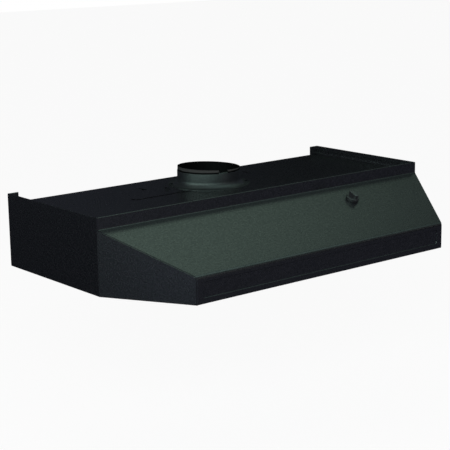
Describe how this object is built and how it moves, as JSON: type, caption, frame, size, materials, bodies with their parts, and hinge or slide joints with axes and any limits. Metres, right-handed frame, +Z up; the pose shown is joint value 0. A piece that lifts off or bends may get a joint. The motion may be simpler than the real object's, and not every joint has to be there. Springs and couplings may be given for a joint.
{
  "type": "under cabinet range hood",
  "caption": "Black sheet steel range hood with a sloping front, sunk top, round duct spigot with damper flaps, axial fan, swing-down grease filter and lamp.",
  "frame": {"origin": "middle of the four cabinet screw keyholes, on the upper face of the top panel", "axes": "+X along the width to the right seen from the front, +Y to the wall, +Z up"},
  "size_m": [0.76, 0.435, 0.1532],
  "materials": {
    "black_paint": "satin",
    "galvanised": "satin",
    "spring_steel": "satin",
    "zinc": "satin",
    "black_screws": "satin",
    "earth": "satin",
    "core_steel": "matte",
    "winding": "satin",
    "cast_zinc": "matte",
    "bronze": "satin",
    "shaft_steel": "polished",
    "aluminium": "satin",
    "white_enamel": "gloss",
    "porcelain": "gloss",
    "lamp_glass": "satin",
    "lens": "satin",
    "black_plastic": "satin",
    "nickel": "satin",
    "terminal": "matte",
    "lead": "matte"
  },
  "bodies": {
    "hood": {"front_panel": "black_paint", "left_side_panel": "black_paint", "right_side_panel": "black_paint", "top_panel": "black_paint", "back_panel": "black_paint", "duct_collar": "black_paint", "collar_screws": "black_screws", "damper_ring": "galvanised", "damper_rod": "galvanised", "blower_box": "galvanised", "blower_screws": "black_screws", "fan_plate": "galvanised", "motor_strap": "galvanised", "strap_screws": "zinc", "motor_laminations": "core_steel", "motor_coil": "winding", "upper_bearing_bridge": "cast_zinc", "lower_bearing_bridge": "cast_zinc", "shaft_bushings": "bronze", "motor_screws": "zinc", "motor_nuts": "zinc", "filter_brackets": "galvanised", "filter_clips": "spring_steel", "lamp_pan": "white_enamel", "lamp_screws": "black_screws", "lamp_socket": "porcelain", "lamp_cap": "aluminium", "lamp_glass": "lamp_glass", "lens_clips": "spring_steel", "switch_body": "black_plastic", "switch_bushing": "nickel", "switch_nut": "zinc", "wiring_cover": "galvanised", "cover_screws": "black_screws", "terminal_block": "terminal", "earth_screw": "earth", "inner_leads": "lead"},
    "fan": {"rotor_core": "core_steel", "motor_shaft": "shaft_steel", "fan_wheel": "aluminium", "fan_nut": "zinc"},
    "front_flap": {"front_damper_flap": "black_paint"},
    "rear_flap": {"rear_damper_flap": "black_paint"},
    "filter": {"filter_frame": "aluminium", "filter_mesh": "aluminium", "filter_pull": "aluminium", "filter_pins": "aluminium"},
    "lens": {"light_lens": "lens"},
    "knob": {"control_knob": "black_plastic", "switch_shaft": "shaft_steel"}
  },
  "joints": [
    {"name": "fan_spin", "type": "hinge", "parent": "hood", "child": "fan", "pos_m": [0, 0.046, -0.05], "axis": [0, 0, 1], "continuous": true},
    {"name": "front_flap_swing", "type": "hinge", "parent": "hood", "child": "front_flap", "pos_m": [0, 0.046, 0.014], "axis": [-1, 0, 0], "range_deg": [0, 80]},
    {"name": "rear_flap_swing", "type": "hinge", "parent": "hood", "child": "rear_flap", "pos_m": [0, 0.046, 0.014], "axis": [1, 0, 0], "range_deg": [0, 80]},
    {"name": "filter_swing", "type": "hinge", "parent": "hood", "child": "filter", "pos_m": [0, 0.1315, -0.1005], "axis": [1, 0, 0], "range_deg": [0, 70]},
    {"name": "lens_swing", "type": "hinge", "parent": "hood", "child": "lens", "pos_m": [0.235, 0.086, -0.097], "axis": [1, 0, 0], "range_deg": [0, 80]},
    {"name": "knob_turn", "type": "hinge", "parent": "hood", "child": "knob", "pos_m": [0.163, -0.177, -0.02198], "axis": [0, 0.4027, -0.9153], "range_deg": [0, 135]}
  ]
}
